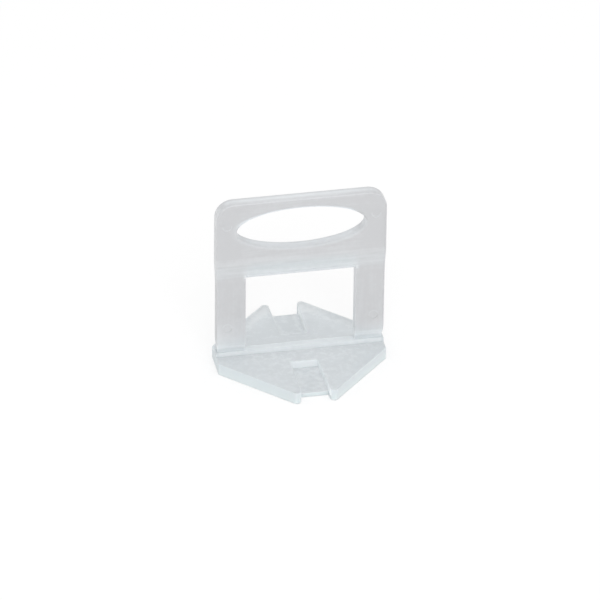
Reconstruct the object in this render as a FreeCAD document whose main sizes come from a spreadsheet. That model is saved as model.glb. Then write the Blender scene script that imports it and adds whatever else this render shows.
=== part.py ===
import FreeCAD, Part
import math
import os
import Sketcher

# Tile levelling clip, injection moulded in one piece of natural polypropylene.
# A six-sided base plate slides under two neighbouring tiles. Two legs stand in the joint
# between them and carry a handle, and a wedge is driven through the window between the legs.
# The legs snap off at the thin line just above the base, and the base stays under the floor.
# Origin: the middle of the base's underside. X runs along the joint, Y across it, Z up.

SIZES = {
    # Window and legs, seen from the front
    "window_width": 19.5,
    "window_height": 14.7,
    "leg_width": 5.1,
    "neck_inset": 0.2,
    "neck_slope_height": 2.0,
    # Handle: a little wider than the legs on each side, over a long slope
    "bar_height": 2.8,
    "shoulder_step": 0.15,
    "side_slope_height": 3.5,
    "corner_radius": 3.2,
    # Finger hole, a true ellipse: the handle left below it, beside it and above it
    "finger_hole_sill": 2.65,
    "finger_hole_side": 3.65,
    "finger_hole_web": 1.85,
    "finger_hole_height": 7.7,
    "finger_hole_round": 0.45,
    # Thicknesses: the legs are as thick as the tile joint, the handle is thicker on each face
    "leg_thickness": 2.0,
    "handle_step": 0.2,
    "shoulder_slope_height": 1.0,
    "handle_round": 0.3,
    "leg_round": 0.25,
    "soffit_bevel_height": 0.8,
    "soffit_bevel_depth": 0.45,
    # Break line at the foot of the legs
    "break_thickness": 0.9,
    "break_height": 0.55,
    "break_slope_height": 1.1,
    # Base plate
    "base_step": 0.05,
    "base_thickness": 2.2,
    "side_flat": 6.2,
    "side_corner_round": 0.35,
    "rim_round": 0.2,
    # Notches at the two tips: a recess with a thin floor, then an open mouth between prongs
    "bridge_width": 9.5,
    "recess_length": 8.33,
    "mouth_length": 1.97,
    "notch_width": 4.7,
    "notch_mouth": 5.1,
    "floor_thickness": 0.8,
    "prong_width": 1.05,
    "prong_round": 0.8,
    "prong_outer_round": 0.45,
    # Rib that ties the feet of the legs together, as wide as the legs at its foot
    "rib_height": 0.7,
    "rib_slope": 0.25,
    # Ejector marks on the front faces
    "mark_diameter": 1.6,
    "mark_depth": 0.08,
    "mark_margin": 1.9,
    "handle_mark_drop": 4.1,
    "leg_mark_rise": 5.0,
}

# The two rounds of a prong have to fit on its end: the inner one may take this share of it
most_of_prong = 0.78

# What follows from the sizes, as formulas in the same sheet. Heights count from the underside.
DERIVED = {
    "leg_span": "window_width + 2 * leg_width",
    "plate_width": "leg_span + 2 * shoulder_step",
    "neck_width": "leg_span - 2 * neck_inset",
    "base_width": "leg_span + 2 * base_step",
    "handle_thickness": "leg_thickness + 2 * handle_step",
    "rib_crest": "leg_thickness - 2 * rib_slope",
    # Heights, from the bottom up
    "rib_top": "base_thickness + rib_height",
    "break_top": "rib_top + break_height",
    "leg_foot": "break_top + break_slope_height",
    "neck_top": "break_top + neck_slope_height",
    "window_top": "rib_top + window_height",
    "shoulder": "window_top + bar_height",
    "shoulder_foot": "shoulder - shoulder_slope_height",
    "leg_top": "shoulder - side_slope_height",
    "hole_centre": "shoulder + finger_hole_sill + finger_hole_height / 2",
    "total_height": "shoulder + finger_hole_sill + finger_hole_height + finger_hole_web",
    # The outer sides run straight past these two levels
    "width_at_leg_foot": "neck_width + 2 * neck_inset * break_slope_height / neck_slope_height",
    "width_at_shoulder_foot":
        "plate_width - 2 * shoulder_step * shoulder_slope_height / side_slope_height",
    "finger_hole_length": "plate_width - 2 * finger_hole_side",
    # The notch widens evenly from the bridge to the tip, and the cut runs on past the tip
    "base_depth": "bridge_width + 2 * recess_length + 2 * mouth_length",
    "tip_width": "notch_mouth + 2 * prong_width",
    "notch_spread": "(notch_mouth - notch_width) / (recess_length + mouth_length)",
    "notch_at_floor_end": "notch_mouth - notch_spread * mouth_length",
    "notch_past_tip": "notch_mouth + notch_spread * mouth_length",
    "past_tip": "base_depth / 2 + mouth_length",
    "prong_round_fitted": f"min(prong_round; {most_of_prong} * prong_width)",
}

doc = FreeCAD.newDocument("tile_levelling_clip")
sheet = doc.addObject("Spreadsheet::Sheet", "sizes")
cells = {alias: str(size) for alias, size in SIZES.items()}
cells.update({alias: "=" + formula for alias, formula in DERIVED.items()})
for row, alias in enumerate(cells, start=1):
    sheet.set(f"A{row}", alias)
    sheet.setAlias(f"B{row}", alias)
for row, content in enumerate(cells.values(), start=1):
    sheet.set(f"B{row}", content)

body = doc.addObject("PartDesign::Body", "levelling_clip")
body.Label = "levelling_clip"
doc.recompute()

# Depth below the base plate's top from which legs and rib grow out of it
BURIED = "sizes.base_thickness / 2"


def number(expression):
    """The present value of an expression on the sheet."""
    return float(body.evalExpression(expression))


def origin_plane(role):
    return next(plane for plane in body.Origin.OriginFeatures if plane.Role == role)


def sketch_on(role, name, lift=None):
    """A sketch on one of the body's origin planes, moved along its normal where lift says."""
    sketch = body.newObject("Sketcher::SketchObject", name)
    sketch.AttachmentSupport = [(origin_plane(role), "")]
    sketch.MapMode = "FlatFace"
    if lift:
        sketch.setExpression(".AttachmentOffset.Base.z", lift)
    return sketch


def add_ring(sketch, points):
    """A closed ring of straight lines through the points. Returns the first line's index."""
    first = sketch.GeometryCount
    vectors = [FreeCAD.Vector(x, y, 0) for x, y in points]
    for start, end in zip(vectors, vectors[1:] + vectors[:1]):
        sketch.addGeometry(Part.LineSegment(start, end), False)
    last = sketch.GeometryCount - 1
    for line in range(first, last):
        sketch.addConstraint(Sketcher.Constraint("Coincident", line, 2, line + 1, 1))
    sketch.addConstraint(Sketcher.Constraint("Coincident", last, 2, first, 1))
    return first


def bind(sketch, kind, arguments, name, expression):
    """A dimension of the sketch that follows an expression on the sheet."""
    index = sketch.addConstraint(Sketcher.Constraint(kind, *arguments, number(expression)))
    sketch.renameConstraint(index, name)
    sketch.setExpression("Constraints." + name, expression)


def pin(sketch, line, name, across, up, vertex=1):
    """Places one vertex from the sketch's origin by two named dimensions."""
    bind(sketch, "DistanceX", (-1, 1, line, vertex), name + "_across", across)
    bind(sketch, "DistanceY", (-1, 1, line, vertex), name + "_up", up)


def mirrored_outline(sketch, corners):
    """One closed outline, symmetrical about the vertical axis. Corners run up its right side."""
    right = [(number(x), number(y)) for _, x, y in corners]
    left = [(-x, y) for x, y in reversed(right)]
    first = add_ring(sketch, right + left)
    last = first + 2 * len(corners) - 1
    for step, (name, across, up) in enumerate(corners):
        pin(sketch, first + step, name, across, up)
        sketch.addConstraint(
            Sketcher.Constraint("Symmetric", first + step, 1, last - step, 1, -2))


def mirrored_pair(sketch, corners):
    """Two closed outlines, one the mirror image of the other about the vertical axis."""
    right = [(number(x), number(y)) for _, x, y in corners]
    first = add_ring(sketch, right)
    twin = add_ring(sketch, [(-x, y) for x, y in right])
    for step, (name, across, up) in enumerate(corners):
        pin(sketch, first + step, name, across, up)
        sketch.addConstraint(
            Sketcher.Constraint("Symmetric", first + step, 1, twin + step, 1, -2))


def four_way_outline(sketch, corners):
    """A closed outline, symmetrical about both axes. Corners run round its first quarter."""
    count = len(corners)
    quarter = [(number(x), number(y)) for _, x, y in corners]
    upper = quarter + [(-x, y) for x, y in reversed(quarter)]
    first = add_ring(sketch, upper + [(-x, -y) for x, y in upper])
    for step, (name, across, up) in enumerate(corners):
        own = first + step
        left = first + 2 * count - 1 - step
        left_front = first + 2 * count + step
        front = first + 4 * count - 1 - step
        pin(sketch, own, name, across, up)
        sketch.addConstraint(Sketcher.Constraint("Symmetric", own, 1, left, 1, -2))
        sketch.addConstraint(Sketcher.Constraint("Symmetric", left, 1, left_front, 1, -1))
        sketch.addConstraint(Sketcher.Constraint("Symmetric", own, 1, front, 1, -1))


def level_ellipse(sketch, centre_up, length, height):
    """An ellipse on the vertical axis, with its long axis level."""
    up = number(centre_up)
    sketch.addGeometry(Part.Ellipse(
        FreeCAD.Vector(number(length) / 2, up, 0),
        FreeCAD.Vector(0, up + number(height) / 2, 0),
        FreeCAD.Vector(0, up, 0)), False)
    sketch.exposeInternalGeometry(0)
    ellipse, long_axis, short_axis = range(3)
    sketch.addConstraint(Sketcher.Constraint("Horizontal", long_axis))
    sketch.addConstraint(Sketcher.Constraint("PointOnObject", ellipse, 3, -2))
    bind(sketch, "DistanceY", (-1, 1, ellipse, 3), "centre_up", centre_up)
    bind(sketch, "Distance", (long_axis,), "length", length)
    bind(sketch, "Distance", (short_axis,), "height", height)


def rounded_rectangle(sketch, half_width, half_depth, radius):
    """A rectangle centred on the sketch's origin, with its corners rounded."""
    wide, deep, r = number(half_width), number(half_depth), number(radius)
    quarter_turn = math.pi / 2
    for turn, (x, y) in enumerate([(1, 1), (-1, 1), (-1, -1), (1, -1)]):
        centre = FreeCAD.Vector(x * (wide - r), y * (deep - r), 0)
        circle = Part.Circle(centre, FreeCAD.Vector(0, 0, 1), r)
        start = turn * quarter_turn
        sketch.addGeometry(Part.ArcOfCircle(circle, start, start + quarter_turn), False)
    for arc in range(4):
        end = sketch.Geometry[arc].EndPoint
        start = sketch.Geometry[(arc + 1) % 4].StartPoint
        sketch.addGeometry(Part.LineSegment(end, start), False)
        sketch.addConstraint(Sketcher.Constraint("Tangent", arc, 2, arc + 4, 1))
        sketch.addConstraint(Sketcher.Constraint("Tangent", arc + 4, 2, (arc + 1) % 4, 1))
    for arc in (1, 2, 3):
        sketch.addConstraint(Sketcher.Constraint("Equal", 0, arc))
    for level, upright in ((4, 5), (6, 7)):
        sketch.addConstraint(Sketcher.Constraint("Horizontal", level))
        sketch.addConstraint(Sketcher.Constraint("Vertical", upright))
    sketch.addConstraint(Sketcher.Constraint("Symmetric", 0, 3, 2, 3, -1, 1))
    bind(sketch, "Radius", (0,), "corner", radius)
    bind(sketch, "DistanceX", (-1, 1, 0, 1), "half_width", half_width)
    bind(sketch, "DistanceY", (-1, 1, 0, 2), "half_depth", half_depth)


def circles_pair(sketch, name, across, up, diameter):
    """Two equal circles, one each side of the vertical axis."""
    radius = number(diameter) / 2
    for side in (1, -1):
        centre = FreeCAD.Vector(side * number(across), number(up), 0)
        sketch.addGeometry(Part.Circle(centre, FreeCAD.Vector(0, 0, 1), radius), False)
    right = sketch.GeometryCount - 2
    pin(sketch, right, name, across, up, vertex=3)
    bind(sketch, "Diameter", (right,), name + "_diameter", diameter)
    sketch.addConstraint(Sketcher.Constraint("Equal", right, right + 1))
    sketch.addConstraint(Sketcher.Constraint("Symmetric", right, 3, right + 1, 3, -2))


def extrude(kind, name, sketch, length=None, both_ways=False):
    """A Pad or a Pocket of a sketch. With no length it goes through everything."""
    feature = body.newObject("PartDesign::" + kind, name)
    feature.Profile = sketch
    if both_ways:
        feature.SideType = "Symmetric"
    if length:
        feature.setExpression("Length", length)
    else:
        feature.Type = "ThroughAll"
    before = body.Shape.Volume if kind == "Pocket" else 0.0
    sketch.Visibility = False
    doc.recompute()
    smallest_cut = 1e-6
    if kind == "Pocket" and feature.Shape.Volume > before - smallest_cut:
        raise RuntimeError(name + " cuts nothing")
    return feature


def round_edges(name, radius, wanted):
    """A fillet on every edge of the present tip that wanted() picks."""
    base = body.Tip
    picked = [f"Edge{i}" for i, edge in enumerate(base.Shape.Edges, start=1) if wanted(edge)]
    if not picked:
        raise RuntimeError(name + " finds no edge")
    feature = body.newObject("PartDesign::Fillet", name)
    feature.Base = (base, picked)
    feature.setExpression("Radius", radius)
    doc.recompute()
    return feature


def middle(edge):
    """The point half way along an edge."""
    first, last = edge.ParameterRange
    return edge.valueAt((first + last) / 2)


def near(value, target, tolerance=1e-4):
    return abs(value - target) < tolerance


# Handle: a flat plate with rounded top corners and softened edges.
handle_outline = sketch_on("XZ_Plane", "handle_outline")
mirrored_outline(handle_outline, [
    ("shoulder", "sizes.plate_width / 2", "sizes.shoulder"),
    ("top", "sizes.plate_width / 2", "sizes.total_height"),
])
extrude("Pad", "handle", handle_outline, "sizes.handle_thickness", both_ways=True)


def top_corner(edge):
    point = middle(edge)
    half_width = number("sizes.plate_width / 2")
    return near(point.z, number("sizes.total_height")) and near(abs(point.x), half_width)


def handle_face_edge(edge):
    point = middle(edge)
    on_face = near(abs(point.y), number("sizes.handle_thickness / 2"))
    return on_face and not near(point.z, number("sizes.shoulder"))


def hole_edge(edge):
    return edge.isClosed() and handle_face_edge(edge)


round_edges("handle_corners", "sizes.corner_radius", top_corner)
round_edges("handle_edges", "sizes.handle_round", handle_face_edge)

# Finger hole: a long ellipse right through the handle, with well rounded edges.
hole = sketch_on("XZ_Plane", "finger_hole_outline")
level_ellipse(hole, "sizes.hole_centre", "sizes.finger_hole_length", "sizes.finger_hole_height")
extrude("Pocket", "finger_hole", hole, both_ways=True)
round_edges("finger_hole_edges", "sizes.finger_hole_round", hole_edge)

# Legs: straight sides between level sections, so the faces slope in at the shoulder and at
# the break line, and the outer sides draw in a little at both.
sections = []
for name, height, width, thickness, corner in (
        ("buried", BURIED, "neck_width", "break_thickness", "leg_round"),
        ("break_line", "sizes.break_top", "neck_width", "break_thickness", "leg_round"),
        ("leg_foot", "sizes.leg_foot", "width_at_leg_foot", "leg_thickness", "leg_round"),
        ("neck_top", "sizes.neck_top", "leg_span", "leg_thickness", "leg_round"),
        ("leg_top", "sizes.leg_top", "leg_span", "leg_thickness", "leg_round"),
        ("shoulder_foot", "sizes.shoulder_foot", "width_at_shoulder_foot", "leg_thickness",
         "leg_round"),
        ("shoulder", "sizes.shoulder", "plate_width", "handle_thickness", "handle_round")):
    section = sketch_on("XY_Plane", name + "_section", height)
    rounded_rectangle(section, f"sizes.{width} / 2", f"sizes.{thickness} / 2",
                      f"sizes.{corner}")
    section.Visibility = False
    sections.append(section)
doc.recompute()
legs = body.newObject("PartDesign::AdditiveLoft", "legs")
legs.Profile = sections[0]
legs.Sections = sections[1:]
legs.Ruled = True
doc.recompute()

# Window for the wedge, open down to the rib, with its upper edge bevelled on both faces.
window = sketch_on("XZ_Plane", "window_outline")
mirrored_outline(window, [
    ("foot", "sizes.window_width / 2", BURIED + " / 2"),
    ("top", "sizes.window_width / 2", "sizes.window_top"),
])
extrude("Pocket", "window", window, both_ways=True)

bevel = sketch_on("YZ_Plane", "soffit_bevel_outline")
BEVEL_TOP = "sizes.window_top + sizes.soffit_bevel_height"
BEVEL_BELOW = "sizes.window_top - sizes.soffit_bevel_height"
BEVEL_INNER = "sizes.leg_thickness / 2 - sizes.soffit_bevel_depth"
mirrored_pair(bevel, [
    ("face", "sizes.leg_thickness / 2", BEVEL_TOP),
    ("soffit", BEVEL_INNER, "sizes.window_top"),
    ("below", BEVEL_INNER, BEVEL_BELOW),
    ("outer_below", "sizes.handle_thickness", BEVEL_BELOW),
    ("outer", "sizes.handle_thickness", BEVEL_TOP),
])
extrude("Pocket", "soffit_bevel", bevel, "sizes.window_width", both_ways=True)

# Base plate: six sides with blunt tips, moulded flat.
base_outline = sketch_on("XY_Plane", "base_outline")
four_way_outline(base_outline, [
    ("side", "sizes.base_width / 2", "sizes.side_flat / 2"),
    ("tip", "sizes.tip_width / 2", "sizes.base_depth / 2"),
])
extrude("Pad", "base_plate", base_outline, "sizes.base_thickness")

# Notch in the back tip: a recess down to the thin floor, cut right through at its mouth.
recess = sketch_on("XY_Plane", "recess_outline", "sizes.base_thickness")
mirrored_outline(recess, [
    ("bridge", "sizes.notch_width / 2", "sizes.bridge_width / 2"),
    ("mouth", "sizes.notch_past_tip / 2", "sizes.past_tip"),
])
recess_cut = extrude("Pocket", "recess", recess, "sizes.base_thickness - sizes.floor_thickness")

mouth = sketch_on("XY_Plane", "mouth_outline", "sizes.base_thickness")
mirrored_outline(mouth, [
    ("floor_end", "sizes.notch_at_floor_end / 2", "sizes.base_depth / 2 - sizes.mouth_length"),
    ("mouth", "sizes.notch_past_tip / 2", "sizes.past_tip"),
])
mouth_cut = extrude("Pocket", "mouth", mouth)

# The front tip is the back tip's mirror image.
front_tip = body.newObject("PartDesign::Mirrored", "front_tip")
front_tip.Originals = [recess_cut, mouth_cut]
front_tip.MirrorPlane = (origin_plane("XZ_Plane"), [""])
body.Tip = front_tip
doc.recompute()


def upright_at(half_width, half_depth):
    """A test for the base plate's upright edges at these distances from the two axes."""
    across, along = number(half_width), number(half_depth)

    def test(edge):
        point = middle(edge)
        upright = near(edge.BoundBox.XLength, 0) and near(edge.BoundBox.YLength, 0)
        return upright and near(abs(point.x), across) and near(abs(point.y), along)

    return test


def rim_edge(edge):
    box = edge.BoundBox
    top = number("sizes.base_thickness")
    level = near(box.ZMin, top) and near(box.ZMax, top)
    clear_of_rib = max(abs(box.YMin), abs(box.YMax)) > number("sizes.leg_thickness")
    return level and clear_of_rib


round_edges("prong_tips", "sizes.prong_round_fitted",
            upright_at("sizes.notch_mouth / 2", "sizes.base_depth / 2"))
round_edges("prong_corners", "sizes.prong_outer_round",
            upright_at("sizes.tip_width / 2", "sizes.base_depth / 2"))
round_edges("side_corners", "sizes.side_corner_round",
            upright_at("sizes.base_width / 2", "sizes.side_flat / 2"))
round_edges("rim", "sizes.rim_round", rim_edge)

# Rib along the joint, over the whole width of the base, with sloping sides.
rib_outline = sketch_on("YZ_Plane", "rib_outline")
mirrored_outline(rib_outline, [
    ("buried", "sizes.leg_thickness / 2", BURIED),
    ("foot", "sizes.leg_thickness / 2", "sizes.base_thickness"),
    ("crest", "sizes.rib_crest / 2", "sizes.rib_top"),
])
extrude("Pad", "rib", rib_outline, "sizes.base_width", both_ways=True)

# Ejector marks: four shallow round dimples on the front faces.
handle_marks = sketch_on("XZ_Plane", "handle_marks_outline", "sizes.handle_thickness / 2")
circles_pair(handle_marks, "mark", "sizes.plate_width / 2 - sizes.mark_margin",
             "sizes.total_height - sizes.handle_mark_drop", "sizes.mark_diameter")
extrude("Pocket", "handle_marks", handle_marks, "sizes.mark_depth")

leg_marks = sketch_on("XZ_Plane", "leg_marks_outline", "sizes.leg_thickness / 2")
circles_pair(leg_marks, "mark", "sizes.leg_span / 2 - sizes.mark_margin",
             "sizes.rib_top + sizes.leg_mark_rise", "sizes.mark_diameter")
extrude("Pocket", "leg_marks", leg_marks, "sizes.mark_depth")

# Every step has to have worked, and the clip has to be one sound solid.
doc.recompute()
for item in doc.Objects:
    if "Invalid" in item.State or "Error" in item.State:
        raise RuntimeError(item.Name + " failed: " + item.getStatusString())
clip = body.Shape
if clip.isNull() or not clip.isValid() or len(clip.Solids) != 1:
    raise RuntimeError("the clip isn't one valid solid")

os.makedirs("parts", exist_ok=True)
clip.exportStep("parts/levelling_clip.step")
box = clip.optimalBoundingBox(False)
print(f"levelling_clip {box.XLength:.3f} x {box.YLength:.3f} x {box.ZLength:.3f} mm,",
      f"{clip.Volume:.1f} mm3, {len(clip.Faces)} faces")
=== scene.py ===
import math

import bpy
from mathutils import Matrix, Vector

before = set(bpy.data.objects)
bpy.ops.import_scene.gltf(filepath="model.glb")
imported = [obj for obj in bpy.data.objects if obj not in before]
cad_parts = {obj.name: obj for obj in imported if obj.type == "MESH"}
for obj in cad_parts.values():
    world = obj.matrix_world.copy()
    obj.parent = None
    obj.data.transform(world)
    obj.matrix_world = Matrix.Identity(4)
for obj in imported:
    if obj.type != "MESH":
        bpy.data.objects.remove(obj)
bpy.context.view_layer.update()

# Levelling clip: a throwaway spacer that stands under and between two tiles. It's one shot of
# unpigmented polypropylene, broken off its runner, with no assembly and nothing joined to it.
# The solid from model.glb has the true form and the mould's small rounds, so it stays as it is.


def linear(hex_colour):
    """An sRGB hex colour as linear RGBA."""
    parts = [int(hex_colour[i:i + 2], 16) / 255 for i in (1, 3, 5)]
    return [c / 12.92 if c <= 0.04045 else ((c + 0.055) / 1.055) ** 2.4 for c in parts] + [1.0]


def add_node(material, kind, inputs=None, **settings):
    """Adds a node with its settings and links, and gives its outputs.

    An input goes by its name, or by its number where several share a name.
    """
    node = material.node_tree.nodes.new("ShaderNode" + kind)
    for name, value in settings.items():
        setattr(node, name, value)
    for socket, value in (inputs or {}).items():
        if isinstance(value, bpy.types.NodeSocket):
            material.node_tree.links.new(value, node.inputs[socket])
        else:
            node.inputs[socket].default_value = value
    return node.outputs


mm = 0.001
base_top = 2.2 * mm
rib_top = 2.9 * mm
break_top = 3.45 * mm
leg_foot = 4.55 * mm
window_top = 17.6 * mm
shoulder_foot = 19.4 * mm
shoulder = 20.4 * mm
clip_top = 32.6 * mm

# Moulded natural polypropylene: milky, so light goes into it, spreads and comes out again. It
# shows pale grey against white, and lighter or darker as its thickness changes; much of that
# lightness, and of its light and shade, is painted into its colour below.
plastic = bpy.data.materials.new("natural_polypropylene_moulded")
plastic.use_nodes = True
plastic.node_tree.nodes.clear()

coordinates = add_node(plastic, "TexCoord")
place = coordinates["Object"]
across, along, height = add_node(plastic, "SeparateXYZ", {"Vector": place})
normal = add_node(plastic, "SeparateXYZ", {"Vector": coordinates["Normal"]})
from_middle = add_node(plastic, "VectorMath", {0: place}, operation="ABSOLUTE")["Vector"]
aside = add_node(plastic, "SeparateXYZ", {"Vector": from_middle})["X"]
sideways = add_node(plastic, "Math", {0: normal["X"]}, operation="ABSOLUTE")[0]
just_over_base = base_top + 0.04 * mm
upright = add_node(plastic, "Math", {0: height, 1: just_over_base}, operation="GREATER_THAN")[0]

# Walls and rounds, told from the broad faces by a softened normal. More of the light that is
# caught inside the plastic comes out there, and their tints below are painted to show that
# light.
edge_reach = 0.6 * mm
softened = add_node(plastic, "Bevel", {"Radius": edge_reach}, samples=8)["Normal"]
softened = add_node(plastic, "VectorTransform", {"Vector": softened}, vector_type="NORMAL",
                    convert_from="WORLD", convert_to="OBJECT")["Vector"]
softened = add_node(plastic, "VectorMath", {0: softened}, operation="ABSOLUTE")["Vector"]
softened = add_node(plastic, "SeparateXYZ", {"Vector": softened})
broad = add_node(plastic, "Mix", {"Factor": upright, 2: softened["Z"], 3: softened["Y"]})[0]

# In the notches the walls are too low to be softened, so there the true normal tells them
notch_side = 2.35 * mm
in_notch = add_node(plastic, "Math", {0: aside, 1: notch_side + 0.3 * mm},
                    operation="LESS_THAN")[0]
under_rim = add_node(plastic, "Math", {0: height, 1: base_top - 0.2 * mm},
                     operation="LESS_THAN")[0]
in_notch = add_node(plastic, "Math", {0: in_notch, 1: under_rim}, operation="MULTIPLY")[0]
lying_flat = add_node(plastic, "Math", {0: normal["Z"]}, operation="ABSOLUTE")[0]
broad = add_node(plastic, "Mix", {"Factor": in_notch, 2: broad, 3: lying_flat})[0]

# Painted light and shade in the colour of the legs, bar and handle, as pairs of a height and a
# share: lightest at the thin break line, where light gets through, greyer where the section is
# full
level_shades = [
    (0.0, 0.1), (base_top + 0.1 * mm, 0.6), (rib_top - 0.25 * mm, 0.74),
    (rib_top + 0.15 * mm, 0.52), (break_top, 0.58), (break_top + 0.45 * mm, 0.92),
    (leg_foot - 0.2 * mm, 0.72), (leg_foot + 0.35 * mm, 0.35), (leg_foot + 1.0 * mm, 0.38),
    (leg_foot + 2.5 * mm, 0.23), (leg_foot + 6.0 * mm, 0.02), (window_top - 1.0 * mm, 0.02),
    (window_top + 0.3 * mm, 0.12), (window_top + 1.2 * mm, 0.22), (shoulder_foot, 0.2),
    (shoulder_foot + 0.6 * mm, 0.2), (shoulder + 0.1 * mm, 0.08), (shoulder + 0.7 * mm, 0.15),
    (shoulder + 1.6 * mm, 0.06), (clip_top - 2.5 * mm, 0.0),
]
height_share = add_node(plastic, "Math", {0: height, 1: clip_top}, operation="DIVIDE")[0]
levels = add_node(plastic, "ValToRGB", {"Fac": height_share})["Color"]
stops = levels.node.color_ramp.elements
stops.remove(stops[1])  # a new ramp has two
for level, shade in level_shades:
    stop = stops.new(level / clip_top) if level else stops[0]
    stop.position = level / clip_top
    stop.color = (shade, shade, shade, 1.0)

# Clouds about 1 mm wide, where the plastic has set a little more or less clear
cloud_size = 1.1 * mm
cloud = add_node(plastic, "TexNoise", {"Vector": place, "Scale": 1 / cloud_size, "Detail": 3.0,
                                       "Roughness": 0.6})["Fac"]

# Flow lines about half a millimetre wide, drawn out down the legs and along the bar and handle
line_width = 0.45 * mm
shortened = 0.06
flow = []
for stretch in [(1.0, 1.0, shortened), (shortened, 1.0, 1.0)]:
    drawn_out = add_node(plastic, "VectorMath", {0: place, 1: stretch}, operation="MULTIPLY")[0]
    flow.append(add_node(plastic, "TexNoise", {"Vector": drawn_out, "Scale": 1 / line_width,
                                               "Detail": 2.0})["Fac"])

# Distances that some of the regions below follow: from the middle of the finger hole in shares
# of its size, from the middle of the plate towards its slanting edges, and from the ejector
# marks on the legs and on the handle
hole_length, hole_height, hole_middle = 22.7 * mm, 7.7 * mm, 26.9 * mm
hole_share = add_node(plastic, "VectorMath", {
    0: place, 1: (2 / hole_length, 0.0, 2 / hole_height),
    2: (0.0, 0.0, -2 * hole_middle / hole_height)}, operation="MULTIPLY_ADD")[0]
hole_share = add_node(plastic, "VectorMath", {0: hole_share}, operation="LENGTH")["Value"]

side_corner, tip_corner = Vector((15.0, 3.1, 0.0)) * mm, Vector((3.6, 15.05, 0.0)) * mm
outward = (tip_corner - side_corner).cross(Vector((0.0, 0.0, 1.0))).normalized()
plate_edge = side_corner.dot(outward)
slant = add_node(plastic, "VectorMath", {0: from_middle, 1: outward},
                 operation="DOT_PRODUCT")["Value"]

leg_mark, handle_mark = Vector((12.95, 0.0, 7.9)) * mm, Vector((13.1, 0.0, 28.5)) * mm
on_face = add_node(plastic, "CombineXYZ", {"X": aside, "Z": height})["Vector"]
from_leg_mark, from_handle_mark = [
    add_node(plastic, "VectorMath", {0: on_face, 1: mark}, operation="DISTANCE")["Value"]
    for mark in (leg_mark, handle_mark)]
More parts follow.
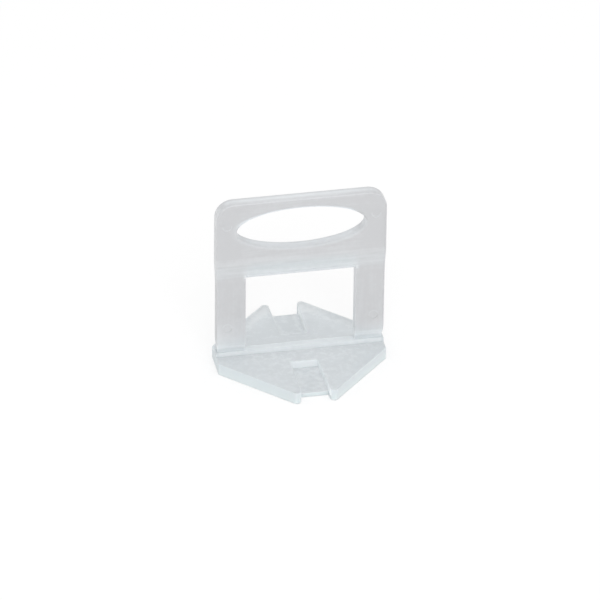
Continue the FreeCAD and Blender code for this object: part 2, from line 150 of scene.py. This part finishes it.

# Regions, most of them painted light and shade in the colour and some setting how much light
# passes. A region is a sum of parts and a part a product of smooth steps. A step names what it
# follows, where it starts and ends, and its value there.
window_side, clip_side = 10.0 * mm, 15.0 * mm
bridge_edge = 4.75 * mm
floor_top, floor_end = 0.8 * mm, 13.1 * mm
regions = {
    "upright": [
        # painted light along the lower edge of the bar, over the window
        [(height, window_top - 0.05 * mm, window_top, 0.0, 1.0),
         (height, window_top + 0.5 * mm, window_top + 0.8 * mm, 0.55, 0.15),
         (height, window_top + 0.5 * mm, window_top + 1.5 * mm, 1.0, 0.0),
         (aside, window_side - 0.4 * mm, window_side + 0.4 * mm, 1.0, 0.0)],
        # painted shade on both sides of the handle, up to its corners
        [(aside, window_side - mm, window_side + 2.5 * mm, 0.0, -0.1),
         (height, shoulder, shoulder + 2.0 * mm, 0.0, 1.0),
         (height, hole_middle, hole_middle + 3.0 * mm, 1.0, 0.3)],
        # painted highlight on the rounds of the handle's upper corners
        [(normal["Z"], 0.2, 0.6, 0.0, 1.0), (normal["Z"], 0.8, 0.99, 1.0, 0.0),
         (height, clip_top - 3.0 * mm, clip_top - mm, 0.0, 0.15)],
        # painted shade at both ends of the rib
        [(aside, clip_side - 0.8 * mm, clip_side - 0.2 * mm, 0.0, -0.3),
         (height, rib_top, rib_top + 0.3 * mm, 1.0, 0.0)],
        # painted shade at both ends of the bar
        [(aside, window_side - mm, window_side + mm, 0.0, -0.06),
         (height, window_top - 2.0 * mm, window_top, 0.0, 1.0),
         (height, shoulder - 0.5 * mm, shoulder + 0.5 * mm, 1.0, 0.0)],
        # painted light on the lower wall of the finger hole at its right end
        [(hole_share, 1.0, 1.06, 0.17, 0.0), (across, 6.0 * mm, 9.0 * mm, 0.0, 1.0),
         (height, hole_middle, hole_middle + mm, 1.0, 0.0)],
        # painted light and shade on faces that look up: darker on the rib, a painted highlight
        # at the top of the handle, strongest along its middle
        [(normal["Z"], 0.8, 0.99, 0.0, 1.0), (height, leg_foot + 5.0 * mm, clip_top, -0.1, 0.4),
         (along, -mm, 0.1 * mm, 0.45, 1.4), (along, 0.1 * mm, mm, 1.0, 0.4)],
        # painted light and shade on faces that look sideways: darker low down, lighter beside
        # the handle, and lighter again on those that look into the window
        [(sideways, 0.6, 0.95, 0.0, 1.0), (height, rib_top, clip_top - 5.0 * mm, -0.4, 0.3)],
        [(sideways, 0.6, 0.95, 0.0, 1.0), (aside, window_side, window_side + 0.3 * mm, 1.0, 0.0),
         (height, leg_foot, window_top - 2.0 * mm, 0.75, 0.45),
         (height, window_top, shoulder, 1.0, 0.0)],
        # painted shade on the right leg above its foot
        [(across, window_side - mm, window_side + mm, 0.0, -0.15),
         (height, leg_foot - 0.2 * mm, leg_foot + 0.6 * mm, 0.0, 1.0),
         (height, leg_foot + 2.5 * mm, leg_foot + 6.0 * mm, 1.0, 0.0)],
        # painted highlights on the rims of the ejector marks on the front: the upper halves on
        # the legs, the lower halves on the handle
        [(from_leg_mark, 0.55 * mm, 0.75 * mm, 0.0, 0.15),
         (from_leg_mark, 0.85 * mm, mm, 1.0, 0.0), (along, -0.7 * mm, 0.0, 1.0, 0.0),
         (height, leg_mark.z - 0.4 * mm, leg_mark.z + 0.4 * mm, 0.0, 1.0)],
        [(from_handle_mark, 0.55 * mm, 0.75 * mm, 0.0, 0.33),
         (from_handle_mark, 0.85 * mm, mm, 1.0, 0.0), (along, -0.7 * mm, 0.0, 1.0, 0.0),
         (height, handle_mark.z - 0.4 * mm, handle_mark.z + 0.4 * mm, 1.0, 0.0)],
        # clouds, and flow lines down the legs and along the rest
        [(cloud, 0.3, 0.7, -0.04, 0.04)],
        [(flow[0], 0.3, 0.7, -0.5, 0.5), (height, window_top - mm, window_top + mm, 0.05, 0.0)],
        [(flow[1], 0.3, 0.7, -0.5, 0.5), (height, window_top - mm, window_top + mm, 0.0, 0.1)],
    ],
    "plate": [
        # painted light: a band inside the slanting edges, which shows at the back
        [(slant, plate_edge - 3.4 * mm, plate_edge - 2.0 * mm, 0.0, 0.7),
         (slant, plate_edge - 2.0 * mm, plate_edge, 1.0, 0.6),
         (along, -mm, 3.0 * mm, 0.15, 1.0)],
        # painted light on the prongs at the back
        [(along, 9.5 * mm, 12.5 * mm, 0.0, 0.5),
         (aside, notch_side, notch_side + 0.4 * mm, 0.0, 1.0)],
        # painted light along the back edge of the bridge between the notches
        [(along, bridge_edge - 0.75 * mm, bridge_edge - 0.3 * mm, 0.0, 1.0),
         (along, bridge_edge - 0.1 * mm, bridge_edge + 0.1 * mm, 0.9, 0.0),
         (aside, notch_side, notch_side + 0.05 * mm, 1.0, 0.0)],
        # painted light on the thin floors of the notches, more beside their walls
        [(height, floor_top, floor_top + 0.4 * mm, 1.0, 0.0),
         (aside, 0.9 * mm, 2.2 * mm, 0.2, 0.5)],
        # clouds, weaker in the bands
        [(cloud, 0.3, 0.7, -0.5, 0.5),
         (slant, plate_edge - 3.4 * mm, plate_edge - mm, 1.35, 0.65)],
        # painted light on the front half and painted shade on the back half
        [(along, -mm, 3.0 * mm, 0.13, -0.17)],
    ],
    # painted glow on the rim over the finger hole, fading at its right end
    "hole rim": [[(hole_share, 1.0, 1.14, 1.0, 0.0),
                  (height, hole_middle + 0.5 * mm, hole_middle + 2.5 * mm, 0.1, 1.0),
                  (across, 8.0 * mm, 10.5 * mm, 1.0, 0.0)]],
    # walls of the notches above their floors, whose colour is painted lighter, and the sides of
    # the one behind the legs
    "notch": [[(aside, notch_side + 0.25 * mm, notch_side + 0.35 * mm, 1.0, 0.0),
               (along, floor_end, floor_end + 0.1 * mm, 1.0, 0.0),
               (height, floor_top, floor_top + 0.05 * mm, 0.0, 1.0),
               (height, base_top + 0.02 * mm, just_over_base, 1.0, 0.0)]],
    "back sides": [[(along, 0.0, mm, 0.0, 0.9), (sideways, 0.5, 0.9, 0.0, 1.0)]],
    # painted light on the lower part of the plate's edge, and painted shade on its two short
    # faces at the sides
    "low": [[(height, 0.0, base_top, 1.0, 0.0)]],
    "flat side": [[(sideways, 0.8, 0.95, 0.0, 1.0)]],
    # bluer levels: the legs' feet and the middle of the bar
    "blue": [[(height, rib_top, leg_foot + 2.0 * mm, 1.0, 0.0)],
             [(height, window_top - 0.5 * mm, window_top + mm, 0.0, 0.7),
              (height, shoulder_foot, shoulder + mm, 1.0, 0.0),
              (aside, window_side - 2.0 * mm, window_side + mm, 1.0, 0.25)]],
    # walls, and the plate's back corners at the sides, which take the walls' painted tints
    "wall": [[(broad, 0.4, 0.995, 1.0, 0.0)],
             [(aside, clip_side - mm, clip_side - 0.4 * mm, 0.0, 1.0),
              (along, 0.0, mm, 0.0, 1.0)]],
}
shown = {name: levels if name == "upright" else 0.0 for name in regions}
for name, parts in regions.items():
    for part in parts:
        product = 1.0
        for value, start, end, low, high in part:
            step = add_node(plastic, "MapRange", {
                "Value": value, "From Min": start, "From Max": end, "To Min": low,
                "To Max": high}, interpolation_type="SMOOTHSTEP")[0]
            product = add_node(plastic, "Math", {0: product, 1: step}, operation="MULTIPLY")[0]
        shown[name] = add_node(plastic, "Math", {0: shown[name], 1: product})[0]

# Colours: grey where the section is full and nearly white where light gets through, both painted
# from the regions above as light and shade; the plate, the legs' feet and the bar lean to
# blue-green
tints = {}
for name, factor, first, second in [
        ("full", shown["blue"], "#C7C8CA", "#C3CBCE"),
        ("upright", shown["upright"], "full", "#F2F6F9"),
        ("upright", shown["hole rim"], "upright", "#F4FBFF"),
        ("plate", shown["plate"], "#E5EAED", "#F7FCFF"),
        ("notch", sideways, "#EDF1F3", "#F8FDFF"),
        ("wall", shown["low"], "#DCE2E5", "#E2EAEB"),
        ("wall", shown["flat side"], "wall", "#D1D9DC"),
        ("wall", shown["notch"], "wall", "notch"),
        ("plate", shown["wall"], "plate", "wall"),
        ("clip", upright, "plate", "upright")]:
    ends = [tints.get(end) or linear(end) for end in (first, second)]
    tints[name] = add_node(plastic, "Mix", {"Factor": factor, 6: ends[0], 7: ends[1]},
                           data_type="RGBA")[2]

# Share of the light that passes straight through: much of it in the plate's broad faces, less
# in the thick legs and handle and at walls. The notch behind the legs is in their shade, so its
# sides are lit through the plate. From inside, all of the light passes, so that no wall shows
# dark against the white under it.
clear_plate, clear_upright, clear_wall = 0.75, 0.2, 0.15
through = add_node(plastic, "Mix", {"Factor": upright, 2: clear_plate, 3: clear_upright})[0]
through_wall = add_node(plastic, "Mix", {"Factor": shown["notch"], 2: clear_wall,
                                         3: shown["back sides"]})[0]
through = add_node(plastic, "Mix", {"Factor": shown["wall"], 2: through, 3: through_wall})[0]
inside = add_node(plastic, "NewGeometry")["Backfacing"]
through = add_node(plastic, "Math", {0: through, 1: inside}, operation="MAXIMUM")[0]

# The eroded steel of the mould leaves a satin grain. The real one is about 0.05 mm, too fine
# to show, so it's drawn five times as coarse, and it breaks up the gloss a little.
grain_size = 0.25 * mm
grain = add_node(plastic, "TexNoise", {"Vector": place, "Scale": 1 / grain_size,
                                       "Detail": 2.0})["Fac"]
satin = add_node(plastic, "MapRange", {"Value": grain, "To Min": 0.28, "To Max": 0.42})[0]
bumpy = add_node(plastic, "Bump", {"Height": grain, "Strength": 0.15, "Distance": 0.02 * mm})[0]

# Light spreads half a millimetre under the surface. The walls of the notches are too near to the
# underside for that, and would show a dark line at their foot.
scatter_reach = 0.5 * mm
milky_plate, milky_upright = 1.0, 0.3
scatter = add_node(plastic, "Mix", {"Factor": upright, 2: milky_plate, 3: milky_upright})[0]
scatter = add_node(plastic, "Mix", {"Factor": shown["notch"], 2: scatter, 3: 0.0})[0]

# The index is polypropylene's
surface = add_node(plastic, "BsdfPrincipled", {
    "Base Color": tints["clip"], "Roughness": satin, "IOR": 1.49, "Normal": bumpy,
    "Transmission Weight": through, "Subsurface Weight": scatter,
    "Subsurface Radius": (1.0, 1.0, 1.0), "Subsurface Scale": scatter_reach})["BSDF"]
add_node(plastic, "OutputMaterial", {"Surface": surface})

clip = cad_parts["levelling_clip"]
clip.data.materials.clear()
clip.data.materials.append(plastic)

# Floor: a plain white sheet that the clip stands on, thin, matt and wide enough to fill the
# picture. It takes the clip's soft shadow and otherwise glows to white.
scene = bpy.context.scene
half_width = 1500 * mm
under_clip = -0.02 * mm  # so that it doesn't coincide with the clip's underside
corners = [(x * half_width, y * half_width, under_clip)
           for x, y in ((-1, -1), (1, -1), (1, 1), (-1, 1))]
floor_mesh = bpy.data.meshes.new("floor")
floor_mesh.from_pydata(corners, [], [(0, 1, 2, 3)])
floor = bpy.data.objects.new("floor", floor_mesh)
scene.collection.objects.link(floor)

# Matt white paper, which adds a glow of its own only to rays that look at it straight, by the
# clip's gloss or through the clip
paper_glow = 0.6
paper = bpy.data.materials.new("matt_white_paper")
paper.use_nodes = True
paper.node_tree.nodes.clear()
matt = add_node(paper, "BsdfDiffuse", {"Color": linear("#FFFFFF")})["BSDF"]
glow = add_node(paper, "Emission", {"Color": linear("#FFFFFF"), "Strength": 1.0})["Emission"]
path = add_node(paper, "LightPath")
past_clip = add_node(paper, "Math", {0: path["Is Glossy Ray"], 1: path["Is Transmission Ray"]},
                     operation="MAXIMUM")[0]
looking = add_node(paper, "Math", {0: path["Is Camera Ray"], 1: past_clip},
                   operation="MAXIMUM")[0]
glow_share = add_node(paper, "Math", {0: looking, 1: paper_glow}, operation="MULTIPLY")[0]
paper_surface = add_node(paper, "MixShader", {0: glow_share, 1: matt, 2: glow})["Shader"]
add_node(paper, "OutputMaterial", {"Surface": paper_surface})
floor_mesh.materials.append(paper)

# Studio light: an even white surround, and one large soft lamp in front and above.
studio = bpy.data.worlds.new("studio")
studio.use_nodes = True
background = studio.node_tree.nodes["Background"].inputs
background["Color"].default_value = linear("#FFFFFF")
background["Strength"].default_value = 0.9
scene.world = studio

lamp_data = bpy.data.lights.new("soft_lamp", "AREA")
lamp_data.shape = "DISK"
lamp_data.size = 0.5
lamp_data.energy = 1.5
lamp = bpy.data.objects.new("soft_lamp", lamp_data)
scene.collection.objects.link(lamp)
lamp.location = (-0.05, -0.6, 0.5)
lamp.rotation_euler = (-Vector(lamp.location)).to_track_quat("-Z", "Y").to_euler()

# Camera: a long lens a metre away, at the angle the clip is seen from in the photograph.
azimuth, elevation, tilt = math.radians(11.897), math.radians(31.053), math.radians(0.686)
distance = 1.0
forward = Vector((math.sin(azimuth) * math.cos(elevation),
                  math.cos(azimuth) * math.cos(elevation), -math.sin(elevation)))
level_right = Vector((math.cos(azimuth), -math.sin(azimuth), 0.0))
level_up = level_right.cross(forward)
right = level_right * math.cos(tilt) + level_up * math.sin(tilt)
up = level_up * math.cos(tilt) - level_right * math.sin(tilt)

# A point on the clip's axis is seen at this pixel of the square picture, counted from its upper
# left corner
image_width, pixels_per_metre = 600, 5764.07
aim = Vector((0.0, 0.0, 14.0 * mm))
aim_x, aim_y = 299.797, 288.55
off_right = (aim_x - image_width / 2) / pixels_per_metre
off_up = (image_width / 2 - aim_y) / pixels_per_metre
spot = aim - forward * distance - right * off_right - up * off_up

camera_data = bpy.data.cameras.new("camera")
camera_data.sensor_width = 36.0
camera_data.lens = camera_data.sensor_width * pixels_per_metre * distance / image_width
camera_data.clip_end = 10.0
camera = bpy.data.objects.new("camera", camera_data)
scene.collection.objects.link(camera)
camera.matrix_world = Matrix((
    (right.x, up.x, -forward.x, spot.x),
    (right.y, up.y, -forward.y, spot.y),
    (right.z, up.z, -forward.z, spot.z),
    (0.0, 0.0, 0.0, 1.0)))
scene.camera = camera
scene.view_settings.view_transform = "Standard"
